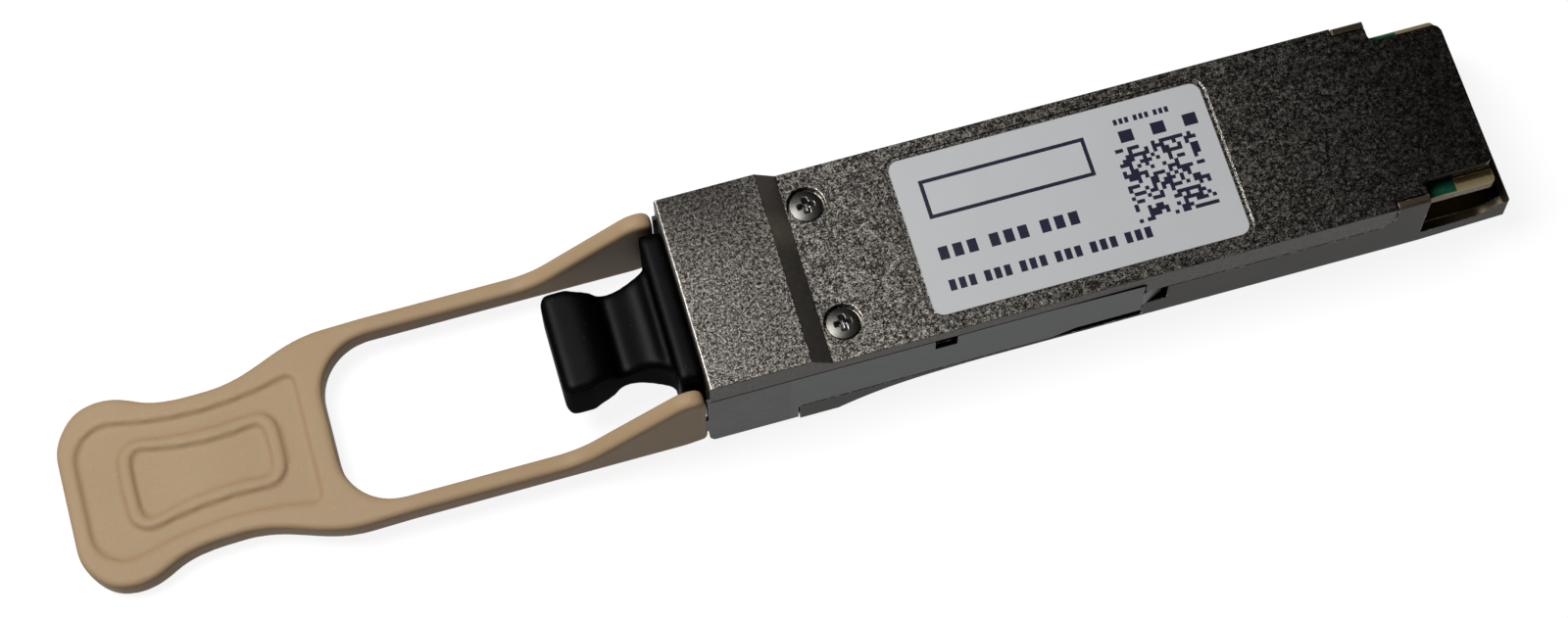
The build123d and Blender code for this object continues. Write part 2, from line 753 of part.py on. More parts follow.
def make_pad():
    # The finger pad and the front of the loop, tilted down a little from the arms
    tilt = radians(pad_tilt)
    middle = (arm_top + arm_bottom) / 2
    pad_plane = Plane(origin=(bend, 0, middle), x_dir=(-cos(tilt), 0, -sin(tilt)),
                      z_dir=(-sin(tilt), 0, cos(tilt)))
    shoulder = (pad_shoulder_distance, arm_outer)
    waist = (pad_waist_distance, arm_outer - pad_waist_inset)
    swell = (pad_swell_distance, arm_outer - pad_swell_inset)
    lobe = (pad_lobe_distance, arm_outer - pad_lobe_inset)
    corner = (pad_corner_distance, arm_outer - pad_corner_inset)
    end = (pad_length, arm_outer - pad_end_inset)
    panel_sides = (shoulder[1] - panel_start_margin, waist[1] - panel_waist_margin,
                   lobe[1] - panel_end_margin)
    ring_sides = (panel_sides[0] - ring_start_margin, panel_sides[1] - ring_waist_margin,
                  panel_sides[2] - ring_end_margin)
    hole_sides = [ring_side - ring_band for ring_side in ring_sides]
    panel = waisted_panel(panel_start, panel_end, panel_sides, (panel_start_corner, panel_end_corner))
    ring = waisted_panel(ring_start, ring_end, ring_sides, (ring_start_corner, ring_end_corner), ring_bow)
    ring_hole = waisted_panel(ring_start + ring_band, ring_end - ring_band, hole_sides,
                              (ring_inner_corner, ring_inner_corner), ring_bow)
    with BuildPart() as pad:
        with BuildSketch(pad_plane):
            with BuildLine():
                Polyline((-pad_overlap, 0), (-pad_overlap, arm_outer), shoulder)
                Spline([shoulder, waist], tangents=[(1, 0), (1, 0)])
                Spline([waist, swell, lobe], tangents=[(1, 0), (1, 0)])
                Spline([lobe, corner, end], tangents=[(1, 0), (0, -1)])
                Line(end, (pad_length, 0))
                mirror(about=Plane.XZ)
            make_face()
        extrude(amount=arm_height / 2, both=True)
        # Front of the loop
        with BuildSketch(pad_plane) as loop:
            with Locations((loop_corner, 0)):
                Rectangle(loop_corner + past, 2 * arm_inner, align=(Align.MAX, Align.CENTER))
            fillet(loop.vertices().group_by(Axis.X)[-1], loop_corner)
        extrude(amount=arm_height, both=True, mode=Mode.SUBTRACT)
        rims = pad.edges().filter_by(
            lambda edge: abs(abs(pad_plane.to_local_coords(edge.center()).Z) - arm_height / 2) < edge_break
            and pad_plane.to_local_coords(edge.center()).X > edge_break)
        fillet(rims, tab_edge_radius)
        # Grip relief on both faces: a sunk panel with a raised waisted ring
        for face in (-1, 1):
            relief_plane = pad_plane.offset(face * (arm_height / 2 - relief_depth))
            with BuildSketch(relief_plane):
                add(panel)
                add(ring, mode=Mode.SUBTRACT)
                add(ring_hole)
            extrude(amount=face * relief_depth * 2, mode=Mode.SUBTRACT)
    return pad.part


def make_pull_tab():
    with BuildPart() as pull_tab:
        add(make_pad())
        add(make_arm(-1))
        add(make_arm(1))
    save(pull_tab.part, "pull_tab")


def make_dust_plug():
    flange_back = -plug_gap
    flange_front = flange_back - plug_flange_thickness
    tip = flange_front - tongue_length
    insert_width = port_width - 2 * plug_insert_clearance
    insert_height = port_height - 2 * plug_insert_clearance
    with BuildPart() as plug:
        # Finger tongue: waisted in plan, saddle-shaped from the side
        with BuildSketch(Plane.XY):
            with BuildLine():
                Line((flange_back, 0), (flange_back, tongue_root_width / 2))
                Line((flange_back, tongue_root_width / 2), (flange_front, tongue_root_width / 2))
                Spline(
                    [
                        (flange_front, tongue_root_width / 2),
                        (flange_front - tongue_neck_distance, tongue_neck_width / 2),
                        (flange_front - tongue_waist_distance, tongue_waist_width / 2),
                        (flange_front - tongue_lip_distance, tongue_lip_width / 2),
                        (tip, tongue_tip_width / 2),
                    ],
                    tangents=[(-0.4, -1), (-1, 0)],
                )
                Line((tip, tongue_tip_width / 2), (tip, 0))
                mirror(about=Plane.XZ)
            make_face()
        extrude(amount=nose_height / 2, both=True)
        lip_end = flange_front - tongue_lip_distance
        with BuildSketch(Plane.XZ):
            with BuildLine():
                Line((flange_back, 0), (flange_back, tongue_root_height / 2))
                Line((flange_back, tongue_root_height / 2), (flange_front, tongue_root_height / 2))
                Spline(
                    [
                        (flange_front, tongue_root_height / 2),
                        (flange_front - tongue_ridge_distance, tongue_ridge_height / 2),
                        (flange_front - tongue_valley_distance, tongue_valley_height / 2),
                        (lip_end, tongue_lip_height / 2),
                    ],
                    tangents=[(-1, 0), (-1, 0)],
                )
                Polyline((lip_end, tongue_lip_height / 2), (tip, tongue_lip_height / 2), (tip, 0))
                mirror(about=Plane.XZ)
            make_face()
        extrude(amount=body_width, both=True, mode=Mode.INTERSECT)
        fillet(plug.faces().sort_by(Axis.X)[0].edges(), tongue_round)
        # Flange and hollow insert
        with BuildSketch(Plane.YZ.offset(flange_front)):
            RectangleRounded(plug_flange_width, plug_flange_height, plug_flange_corner)
        extrude(amount=plug_flange_thickness)
        with BuildSketch(Plane.YZ.offset(flange_back)):
            RectangleRounded(insert_width, insert_height, plug_insert_corner)
        extrude(amount=plug_insert_length)
        with BuildSketch(Plane.YZ.offset(flange_back + plug_insert_floor)):
            Rectangle(insert_width - 2 * plug_insert_wall, insert_height - 2 * plug_insert_wall)
        extrude(amount=plug_insert_length, mode=Mode.SUBTRACT)
    save(plug.part, "dust_plug")


def make_port_receptacle():
    hook_root = receptacle_end - receptacle_back_wall
    ferrule_hole = (ferrule_width + 2 * ferrule_fit, ferrule_height + 2 * ferrule_fit)
    with BuildPart() as receptacle:
        block((receptacle_start, receptacle_end), across(receptacle_width), across(receptacle_height))
        block((receptacle_start - past, hook_root), across(port_width), across(port_height),
              mode=Mode.SUBTRACT)
        block((receptacle_end - receptacle_back_wall, neck_end), across(receptacle_neck_width),
              across(receptacle_neck_height))
        block((hook_root - past, neck_end + past), across(ferrule_hole[0]), across(ferrule_hole[1]),
              mode=Mode.SUBTRACT)
        for hand in (-1, 1):
            hook_face = hand * (port_width / 2 - hook_side_gap - hook_thickness)
            block((hook_root - hook_length, hook_root), (hook_face, hook_face + hand * hook_thickness),
                  across(hook_height))
            block((hook_root - hook_length, hook_root - hook_length + hook_catch_length),
                  (hook_face - hand * hook_catch, hook_face), across(hook_height))
    save(receptacle.part, "port_receptacle")


def make_port_gasket():
    with BuildPart() as gasket:
        with BuildSketch(Plane.YZ.offset(nose_front_wall)):
            Rectangle(receptacle_width, receptacle_height)
            Rectangle(receptacle_width - 2 * gasket_band, receptacle_height - 2 * gasket_band,
                      mode=Mode.SUBTRACT)
        extrude(amount=gasket_thickness)
    save(gasket.part, "port_gasket")


def make_ferrule():
    with BuildPart() as ferrule:
        block((ferrule_face_distance, neck_end), across(ferrule_width), across(ferrule_height))
        block((neck_end, flange_end), across(flange_width), across(flange_height))
        with BuildSketch(Plane.YZ.offset(ferrule_face_distance)):
            with Locations((-pin_spacing / 2, 0), (pin_spacing / 2, 0)):
                Circle(pin_radius + pin_fit)
        extrude(amount=flange_end, mode=Mode.SUBTRACT)
        # Room for the boot and the ribbon
        block((flange_end - boot_seat, flange_end + past), across(boot_width), across(boot_height),
              mode=Mode.SUBTRACT)
        block((ferrule_face_distance + ribbon_inset, flange_end), across(ribbon_width + 2 * ribbon_fit),
              across(ribbon_thickness + 2 * ribbon_fit), mode=Mode.SUBTRACT)
    save(ferrule.part, "ferrule")


def make_guide_pins():
    clip_end = flange_end + clip_thickness
    with BuildPart() as pins:
        with BuildSketch(Plane.YZ.offset(ferrule_face_distance - pin_reach)):
            with Locations((-pin_spacing / 2, 0), (pin_spacing / 2, 0)):
                Circle(pin_radius)
        extrude(amount=clip_end - ferrule_face_distance + pin_reach)
        tips = pins.edges().filter_by(GeomType.CIRCLE).group_by(Axis.X)[0]
        chamfer(tips, pin_tip)
    save(pins.part, "guide_pins")


def make_pin_clip():
    with BuildPart() as clip:
        with BuildSketch(Plane.YZ.offset(flange_end)):
            Rectangle(clip_width, clip_height)
            Rectangle(boot_width + 2 * ribbon_fit, boot_height + 2 * ribbon_fit, mode=Mode.SUBTRACT)
            with Locations((-pin_spacing / 2, 0), (pin_spacing / 2, 0)):
                Circle(pin_radius + pin_fit, mode=Mode.SUBTRACT)
        extrude(amount=clip_thickness)
    save(clip.part, "pin_clip")


def make_ferrule_boot():
    boot_start = flange_end - boot_seat
    with BuildPart() as boot:
        block((boot_start, boot_start + boot_length), across(boot_width), across(boot_height))
        block((boot_start - past, boot_start + boot_length + past), across(ribbon_width + 2 * ribbon_fit),
              across(ribbon_thickness + 2 * ribbon_fit), mode=Mode.SUBTRACT)
    save(boot.part, "ferrule_boot")


def make_fibre_ribbon():
    with BuildPart() as ribbon:
        block((ferrule_face_distance + ribbon_inset, lens_start + lens_ribbon_depth), across(ribbon_width),
              across(ribbon_thickness))
    save(ribbon.part, "fibre_ribbon")


def make_lens_block():
    cavity = (card_bottom - lens_cavity_height, card_bottom + past)
    slot_height = ribbon_thickness + 2 * ribbon_fit
    with BuildPart() as lens:
        block((lens_start, lens_end), across(lens_width), (lens_bottom, card_bottom))
        block((lens_start + lens_wall, lens_end - lens_wall), across(lens_width - 2 * lens_wall), cavity,
              mode=Mode.SUBTRACT)
        block((lens_start - past, lens_start + lens_ribbon_depth + ribbon_fit),
              across(ribbon_width + 2 * ribbon_fit), across(slot_height), mode=Mode.SUBTRACT)
    save(lens.part, "lens_block")


def make_chip(name, start, size, place=0.0):
    # A chip on the board's lower face, from its front edge and its place across the board
    with BuildPart() as chip:
        block((start, start + size[0]), (place - size[1] / 2, place + size[1] / 2),
              (card_bottom - size[2], card_bottom))
    save(chip.part, name)


def make_inductors():
    with BuildPart() as inductors:
        for hand in (-1, 1):
            middle = hand * inductor_spacing / 2
            block((inductor_start, inductor_start + inductor_size[0]),
                  (middle - inductor_size[1] / 2, middle + inductor_size[1] / 2),
                  (card_bottom - inductor_size[2], card_bottom))
    save(inductors.part, "inductors")


def make_capacitors():
    length, width, height = capacitor_size
    row_start = board_start + capacitor_distance
    with BuildPart() as capacitors:
        with BuildSketch(Plane.XY.offset(card_top)):
            with Locations((row_start + (capacitor_columns - 1) * capacitor_centre_distance / 2, 0)):
                with GridLocations(capacitor_centre_distance, capacitor_row_distance, capacitor_columns, 2):
                    Rectangle(length, width)
        extrude(amount=height)
    save(capacitors.part, "capacitors")


def make_thermal_pads():
    with BuildPart() as pads:
        driver_face = card_bottom - driver_size[2]
        block((driver_start, driver_start + driver_size[0]), across(driver_spacing + driver_size[1]),
              (driver_face - thermal_pad_thickness, driver_face))
        retimer_face = card_bottom - retimer_size[2]
        block((retimer_start, retimer_start + retimer_size[0]), across(retimer_size[1]),
              (retimer_face - thermal_pad_thickness, retimer_face))
    save(pads.part, "thermal_pads")


def make_circuit_board():
    wide_start = tail_cavity_start + board_step_clearance
    with BuildPart() as board:
        with BuildSketch(Plane.XY.offset(card_bottom)) as plan:
            with Locations((board_start, 0)):
                Rectangle(wide_start - board_start, board_neck_width, align=(Align.MIN, Align.CENTER))
            with Locations((board_neck_end, 0)):
                Rectangle(wide_start - board_neck_end, board_width, align=(Align.MIN, Align.CENTER))
            with Locations((wide_start, 0)):
                Rectangle(card_end - wide_start, card_width, align=(Align.MIN, Align.CENTER))
            fillet(plan.vertices().group_by(Axis.X)[-1], card_corner)
        extrude(amount=card_thickness)
    save(board.part, "circuit_board")


def make_contacts(name, face, thickness):
    # One row of gold contacts on a face of the card's edge
    with BuildPart() as contacts:
        with BuildSketch(Plane.XY.offset(face)):
            with Locations((card_end - contact_inset - contact_length / 2, 0)):
                with GridLocations(contact_length, contact_centre_distance, 1, contact_count):
                    Rectangle(contact_length, contact_width)
        extrude(amount=thickness)
    save(contacts.part, name)


os.makedirs("parts", exist_ok=True)
make_top_shell()
make_base_shell()
make_housing_screws()
make_label()
make_latch_slide()
make_return_spring(-1, "return_spring_right")
make_return_spring(1, "return_spring_left")
make_pull_tab()
make_dust_plug()
make_port_receptacle()
make_port_gasket()
make_ferrule()
make_guide_pins()
make_pin_clip()
make_ferrule_boot()
make_fibre_ribbon()
make_lens_block()
make_chip("laser_array", lens_start + (lens_length - die_size[0]) / 2, die_size, -die_spacing / 2)
make_chip("photodiode_array", lens_start + (lens_length - die_size[0]) / 2, die_size, die_spacing / 2)
make_chip("laser_driver", driver_start, driver_size, -driver_spacing / 2)
make_chip("receiver_amplifier", driver_start, driver_size, driver_spacing / 2)
make_chip("retimer", retimer_start, retimer_size)
make_chip("microcontroller", microcontroller_start, microcontroller_size)
make_inductors()
make_capacitors()
make_thermal_pads()
make_circuit_board()
make_contacts("contact_pads_top", card_top, contact_thickness)
make_contacts("contact_pads_bottom", card_bottom, -contact_thickness)
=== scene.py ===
from math import cos, pi, radians, sin

import bmesh
import bpy
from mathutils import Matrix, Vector


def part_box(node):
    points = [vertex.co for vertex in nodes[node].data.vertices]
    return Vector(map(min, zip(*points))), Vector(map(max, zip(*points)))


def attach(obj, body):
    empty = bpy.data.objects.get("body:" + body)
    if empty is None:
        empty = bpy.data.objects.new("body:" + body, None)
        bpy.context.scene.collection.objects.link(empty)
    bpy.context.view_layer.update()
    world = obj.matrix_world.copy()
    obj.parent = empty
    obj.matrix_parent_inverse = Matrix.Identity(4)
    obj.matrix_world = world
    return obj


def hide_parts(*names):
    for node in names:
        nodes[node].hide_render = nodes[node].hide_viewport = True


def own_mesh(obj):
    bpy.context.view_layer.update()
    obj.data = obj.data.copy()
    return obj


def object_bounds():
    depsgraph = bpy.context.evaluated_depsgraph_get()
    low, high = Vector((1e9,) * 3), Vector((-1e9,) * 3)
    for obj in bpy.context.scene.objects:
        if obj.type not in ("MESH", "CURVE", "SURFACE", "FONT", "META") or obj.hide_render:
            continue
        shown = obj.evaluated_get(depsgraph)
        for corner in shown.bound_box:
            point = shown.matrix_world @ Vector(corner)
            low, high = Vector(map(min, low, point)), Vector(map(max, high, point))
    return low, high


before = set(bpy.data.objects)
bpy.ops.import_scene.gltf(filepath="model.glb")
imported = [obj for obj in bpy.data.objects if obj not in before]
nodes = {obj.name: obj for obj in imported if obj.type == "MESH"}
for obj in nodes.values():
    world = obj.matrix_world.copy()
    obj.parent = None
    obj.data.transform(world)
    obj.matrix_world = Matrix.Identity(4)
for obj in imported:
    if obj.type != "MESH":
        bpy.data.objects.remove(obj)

# Pluggable optical transceiver module: its finishes, its modelled details and the studio.
# Everything is in metres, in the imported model's own frame.

mm = 0.001
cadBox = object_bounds()
print("frame loaded:", len(nodes), "nodes")


class Link:  # a node's output; sums, products and comparisons on it add Math nodes
    def __init__(self, finish, socket):
        self.finish, self.socket = finish, socket

    def math(self, operation, first, second):
        return self.finish.node("ShaderNodeMath", {"operation": operation}, {0: first, 1: second})

    def __add__(self, other):
        return self.math("ADD", self, other)

    def __sub__(self, other):
        return self.math("SUBTRACT", self, other)

    def __rsub__(self, other):
        return self.math("SUBTRACT", other, self)

    def __mul__(self, other):
        return self.math("MULTIPLY", self, other)

    def __truediv__(self, other):
        return self.math("DIVIDE", self, other)

    def __pow__(self, other):
        return self.math("POWER", self, other)

    def __gt__(self, other):
        return self.math("GREATER_THAN", self, other)

    def __lt__(self, other):
        return self.math("LESS_THAN", self, other)

    def __abs__(self):
        return self.math("ABSOLUTE", self, 0.0)

    __radd__ = __add__
    __rmul__ = __mul__


class Finish:  # one material, with the method that adds any node to it
    def __init__(self, name, tree=None):
        self.tree = tree
        if tree is None:
            self.material = bpy.data.materials.new(name)
            self.material.use_nodes = True
            self.tree = self.material.node_tree
        self.tree.nodes.clear()
        kind = "ShaderNodeOutputWorld" if tree else "ShaderNodeOutputMaterial"
        self.output = self.tree.nodes.new(kind)

    def node(self, kind, settings=None, inputs=None, output=0):
        made = self.tree.nodes.new(kind)
        for key, value in (settings or {}).items():
            setattr(made, key, value)
        for key, value in (inputs or {}).items():
            if isinstance(value, Link):
                self.tree.links.new(value.socket, made.inputs[key])
            else:
                made.inputs[key].default_value = value
        return Link(self, made.outputs[output])

    def place(self):
        return self.node("ShaderNodeTexCoord", output="Object")

    def axes(self, vector):
        split = self.node("ShaderNodeSeparateXYZ", None, {0: vector}).socket.node
        return [Link(self, output) for output in split.outputs]

    def facing(self):
        return self.axes(self.node("ShaderNodeNewGeometry", output="True Normal"))

    def stretched(self, vector, factors):
        return self.node("ShaderNodeVectorMath", {"operation": "MULTIPLY"}, {0: vector, 1: factors})

    def noise(self, size, detail=2.0, vector=None, rough=0.5):
        return self.node("ShaderNodeTexNoise", None, {
            "Vector": vector or self.place(), "Scale": 1 / size, "Detail": detail, "Roughness": rough})

    def ranged(self, value, low, high, start=0.0, end=1.0):
        return self.node("ShaderNodeMapRange", {"clamp": True}, {
            "Value": value, "From Min": low, "From Max": high, "To Min": start, "To Max": end})

    def mixed(self, factor, first, second):
        # The Mix node keeps its colours in inputs 6 and 7 and its mixed colour in output 2
        made = self.node("ShaderNodeMix", {"data_type": "RGBA"}, {0: factor}, output=2)
        for index, colour in ((6, first), (7, second)):
            if isinstance(colour, Link):
                self.tree.links.new(colour.socket, made.socket.node.inputs[index])
            else:
                made.socket.node.inputs[index].default_value = (*colour, 1)
        return made

    def rounded(self, radius):
        return self.node("ShaderNodeBevel", {"samples": 6}, {"Radius": radius})

    def edges(self, radius):
        # 0 on open faces, up to 1 along their edges
        real = self.node("ShaderNodeNewGeometry", output="True Normal")
        agreement = self.node("ShaderNodeVectorMath", {"operation": "DOT_PRODUCT"}, {
            0: self.rounded(radius), 1: real}, output=1)
        return self.ranged(agreement, 0.99, 0.80)

    def bumped(self, height, depth, normal=None):
        inputs = {"Height": height, "Distance": depth}
        if normal:
            inputs["Normal"] = normal
        return self.node("ShaderNodeBump", None, inputs)

    def shade(self, inputs):
        shader = self.node("ShaderNodeBsdfPrincipled", None, inputs)
        self.tree.links.new(shader.socket, self.output.inputs["Surface"])
        return self.material


def between(value, low, high):
    return (value > low) * (value < high)


def darker(colour, share):
    return tuple(share * part for part in colour)


shellLook = {
    "dark": (0.035, 0.032, 0.029), "light": (0.74, 0.685, 0.61), "smooth": (0.085, 0.076, 0.066),
    # Painted shade: the side colour on the side faces and the black line colour on edges; the bright edge
    # colour is wear with painted highlight
    "side": (0.050, 0.048, 0.045), "wornAndHighlight": (0.90, 0.84, 0.77), "line": (0.006, 0.006, 0.005),
    # The band colour is a painted reflection on the slope
    "sheen": (0.77, 0.76, 0.745, 1), "paintedReflection": (0.17, 0.145, 0.105), "paintedReflectionShare": 0.6,
    "grain": 0.15 * mm, "fineGrain": 0.05 * mm, "mottle": 0.4 * mm, "cloud": 9 * mm,
    "depth": 0.012 * mm, "edge": 0.14 * mm, "wearAndPaintedLight": 0.30 * mm, "lip": 0.45 * mm,
    # Painted light on the blasted top: its level at the nose and the painted shade towards the tail
    "paintedNoseLevel": 0.70, "noseFadeStart": 8 * mm, "noseFadeEnd": 12 * mm,
    "paintedTailShade": 0.74, "tailFadeStart": 50 * mm, "tailFadeEnd": 69 * mm, "hoodEnd": 60 * mm,
    # A painted reflection: a lighter band across the slope
    "paintedReflectionPlace": 3.6 * mm, "paintedReflectionHalf": 0.4 * mm, "paintedReflectionReach": 2.2 * mm,
    # Darker on the far side of the nose's front
    "darkenShare": 0.66, "darkenNear": 1 * mm, "darkenFar": 9 * mm,
    "darkenStart": 7 * mm, "darkenEnd": 10 * mm,
    "rough": (0.25, 0.38), "calmRough": 0.07, "wearAndHighlightElsewhere": 0.28, "patches": (0.35, 0.60),
    "topFacing": 0.95, "sideFacing": 0.7, "speckles": (0.43, 0.62), "contrast": 1.3,
    "lightShade": 0.85, "smoothShade": 0.75,
}


def blastedNickel():
    # Coarse blasted plating on top, smooth on the slope and the sides, bright along the edges from wear and
    # painted highlight; painted light and shade in places
    look = shellLook
    finish = Finish("blastedNickel")
    x, y = finish.axes(finish.place())[:2]
    normalY, normalZ = finish.facing()[1:]
    onTop = normalZ > look["topFacing"]
    onSide = abs(normalY) > look["sideFacing"]
    grain = finish.noise(look["grain"], 3.0, rough=0.6)
    coarse = finish.noise(look["grain"] * 2.2, 2.0)
    # The blasted top with painted light: dimmer at the nose, brightest behind it, and painted shade fading
    # to the tail; darker at the nose's far front
    speckle = finish.ranged(grain * 0.75 + coarse * 0.25, *look["speckles"])
    shaded = darker(look["light"], look["lightShade"])
    light = finish.mixed(finish.noise(look["mottle"], 2.0), look["light"], shaded)
    behindNose = finish.ranged(x, look["noseFadeStart"], look["noseFadeEnd"])
    # Painted light: a brightness factor along the length, standing in for the lamp's reflection
    glow = look["paintedNoseLevel"] + behindNose * (1 - look["paintedNoseLevel"])
    glow = glow - finish.ranged(x, look["tailFadeStart"], look["tailFadeEnd"]) * look["paintedTailShade"]
    body = finish.mixed(speckle ** look["contrast"] * glow, look["dark"], light)
    # Darker towards the far side at the nose's front
    farSide = finish.ranged(y, look["darkenNear"], look["darkenFar"])
    front = finish.ranged(x, look["darkenEnd"], look["darkenStart"])
    body = finish.mixed(farSide * front * look["darkenShare"], body, look["dark"])
    # The smooth slope with a painted reflection as its light band, and the sides darkened as painted shade
    shaded = darker(look["smooth"], look["smoothShade"])
    calm = finish.mixed(finish.noise(look["cloud"], 2.0), look["smooth"], shaded)
    onPaintedReflection = finish.ranged(abs(y - look["paintedReflectionPlace"]), look["paintedReflectionReach"], look["paintedReflectionHalf"])
    calm = finish.mixed(onPaintedReflection * look["paintedReflectionShare"], calm, look["paintedReflection"])
    # Painted shade: the side faces get a darker colour than the slope
    calm = finish.mixed(onSide, calm, look["side"])
    colour = finish.mixed(onTop, calm, body)
    # Edges: bright round the top from wear and painted highlight, a painted highlight along the lip, and
    # painted shade dark on the sides and along the hood
    wearAndPaintedLight = finish.edges(look["wearAndPaintedLight"])
    atLip = x < look["lip"]
    strength = look["wearAndHighlightElsewhere"] + atLip * (1 - look["wearAndHighlightElsewhere"])
    wornAndHighlight = wearAndPaintedLight * onTop * finish.ranged(grain, *look["patches"]) * strength
    wornAndHighlight = finish.ranged(wornAndHighlight + atLip * (1 - onSide) * wearAndPaintedLight, 0.0, 1.0)
    colour = finish.mixed(wornAndHighlight, colour, look["wornAndHighlight"])
    # Painted shade: a dark line on the side edges and along the hood
    colour = finish.mixed(wearAndPaintedLight * onSide, colour, look["line"])
    colour = finish.mixed(wearAndPaintedLight * (x > look["hoodEnd"]), colour, look["line"])
    rough = finish.ranged(coarse, 0.3, 0.7, *look["rough"]) + (1 - onTop) * look["calmRough"]
    height = (grain + coarse * 0.5) * onTop + finish.noise(look["fineGrain"], 1.0) * 0.06
    bump = finish.bumped(height, look["depth"], finish.rounded(look["edge"]))
    return finish.shade({
        "Base Color": colour, "Metallic": 1.0, "Roughness": rough, "Normal": bump,
        "Specular Tint": look["sheen"]})


satinLook = {
    # The up-facing colour is a painted reflection; the bright edge colour is wear with painted highlight
    "light": (0.038, 0.037, 0.036), "dark": (0.028, 0.027, 0.026), "paintedUpReflection": (0.19, 0.15, 0.10),
    "wornAndHighlight": (0.55, 0.54, 0.52), "sheen": (0.72, 0.715, 0.71, 1),
    "cloud": 6 * mm, "grain": 0.09 * mm, "patch": 0.5 * mm,
    "depth": 0.005 * mm, "edge": 0.16 * mm, "wearAndPaintedLight": 0.22 * mm,
    "rough": (0.34, 0.44), "wornPolish": 0.12, "upperFacing": 0.7, "patches": (0.50, 0.68),
}


def satinNickel():
    # Cloudy satin plating, with a painted brown reflection on faces that look up, and edges worn in patches
    # with painted highlight
    look = satinLook
    finish = Finish("satinNickel")
    cloud = finish.noise(look["cloud"], 3.0)
    fine = finish.noise(look["grain"], 2.0)
    normalZ = finish.facing()[2]
    colour = finish.mixed(finish.ranged(cloud, 0.35, 0.65), look["dark"], look["light"])
    colour = finish.mixed(normalZ > look["upperFacing"], colour, look["paintedUpReflection"])
    patches = finish.ranged(finish.noise(look["patch"], 2.0), *look["patches"])
    wearAndPaintedLight = finish.edges(look["wearAndPaintedLight"]) * patches
    colour = finish.mixed(wearAndPaintedLight, colour, look["wornAndHighlight"])
    rough = finish.ranged(cloud, 0.3, 0.7, *look["rough"]) - wearAndPaintedLight * look["wornPolish"]
    bump = finish.bumped(fine + cloud, look["depth"], finish.rounded(look["edge"]))
    return finish.shade({
        "Base Color": colour, "Metallic": 1.0, "Roughness": rough, "Normal": bump,
        "Specular Tint": look["sheen"]})


steelLook = {
    "light": (0.058, 0.059, 0.061), "dark": (0.047, 0.048, 0.049), "stain": (0.040, 0.039, 0.038),
    "sheen": (0.80, 0.81, 0.80, 1),
    "drawn": 0.05 * mm, "drawnStretch": (0.02, 1.0, 1.0), "cloud": 5 * mm, "mottle": 0.35 * mm,
    "stainEnd": 7.4 * mm, "stainSoft": 0.6 * mm, "stainWander": 4 * mm,
    "depth": 0.003 * mm, "edge": 0.10 * mm, "rough": (0.30, 0.40),
}


def springSteel():
    # Cold-rolled strip with fine lines along its length and a stain by the nose
    look = steelLook
    finish = Finish("springSteel")
    place = finish.place()
    x = finish.axes(place)[0]
    drawn = finish.noise(look["drawn"], 2.0, finish.stretched(place, look["drawnStretch"]))
    cloud = finish.noise(look["cloud"], 3.0)
    mottle = finish.noise(look["mottle"], 3.0)
    colour = finish.mixed(finish.ranged(cloud, 0.35, 0.65), look["dark"], look["light"])
    wander = x + (cloud - 0.5) * look["stainWander"]
    stained = finish.ranged(wander, look["stainEnd"], look["stainEnd"] - look["stainSoft"])
    colour = finish.mixed(stained * finish.ranged(mottle, 0.3, 0.6), colour, look["stain"])
    rough = finish.ranged(drawn + cloud, 0.7, 1.3, *look["rough"])
    bump = finish.bumped(drawn, look["depth"], finish.rounded(look["edge"]))
    return finish.shade({
        "Base Color": colour, "Metallic": 1.0, "Roughness": rough, "Normal": bump,
        "Specular Tint": look["sheen"]})


tabLook = {
    "light": (0.380, 0.264, 0.152), "dark": (0.353, 0.242, 0.137), "speck": (0.41, 0.290, 0.172),
    "cloud": 12 * mm, "texture": 0.16 * mm, "speckSize": 0.5 * mm, "depth": 0.010 * mm,
    "rough": (0.44, 0.58), "specks": (0.62, 0.75), "speckShare": 0.3, "gloss": 0.18,
}


def beigePlastic():
    # Matt beige moulding with faint light specks
    look = tabLook
    finish = Finish("beigePlastic")
    cloud = finish.noise(look["cloud"], 3.0)
    fine = finish.noise(look["texture"], 2.0)
    speck = finish.ranged(finish.noise(look["speckSize"], 2.0), *look["specks"])
    base = finish.mixed(finish.ranged(cloud, 0.3, 0.7), look["dark"], look["light"])
    colour = finish.mixed(speck * look["speckShare"], base, look["speck"])
    rough = finish.ranged(fine, 0.3, 0.7, *look["rough"])
    bump = finish.bumped(fine, look["depth"])
    return finish.shade({
        "Base Color": colour, "Roughness": rough, "Normal": bump, "Specular IOR Level": look["gloss"]})


plugLook = {
    "light": (0.0085, 0.0085, 0.009), "dark": (0.006, 0.006, 0.0065), "dust": (0.10, 0.10, 0.10),
    "cloud": 4 * mm, "grain": 0.12 * mm, "dustSize": 0.30 * mm, "depth": 0.004 * mm, "soften": 0.8 * mm,
    "rough": (0.36, 0.48), "dusty": (0.70, 0.76), "dustShare": 0.5, "metal": 0.92, "gloss": 0.15,
}


def blackPlug():
    # Dull black rubber with a little dust; the black tint keeps its grazing reflections down
    look = plugLook
    finish = Finish("blackPlug")
    cloud = finish.noise(look["cloud"], 3.0)
    fine = finish.noise(look["grain"], 2.0)
    dust = finish.ranged(finish.noise(look["dustSize"], 4.0), *look["dusty"])
    base = finish.mixed(cloud, look["dark"], look["light"])
    colour = finish.mixed(dust * look["dustShare"], base, look["dust"])
    rough = finish.ranged(cloud + dust * 0.5, 0.3, 0.9, *look["rough"])
    bump = finish.bumped(fine + dust * 0.4, look["depth"], finish.rounded(look["soften"]))
    return finish.shade({
        "Base Color": colour, "Roughness": rough, "Normal": bump, "Metallic": look["metal"],
        "Specular IOR Level": look["gloss"], "Specular Tint": (0, 0, 0, 1)})


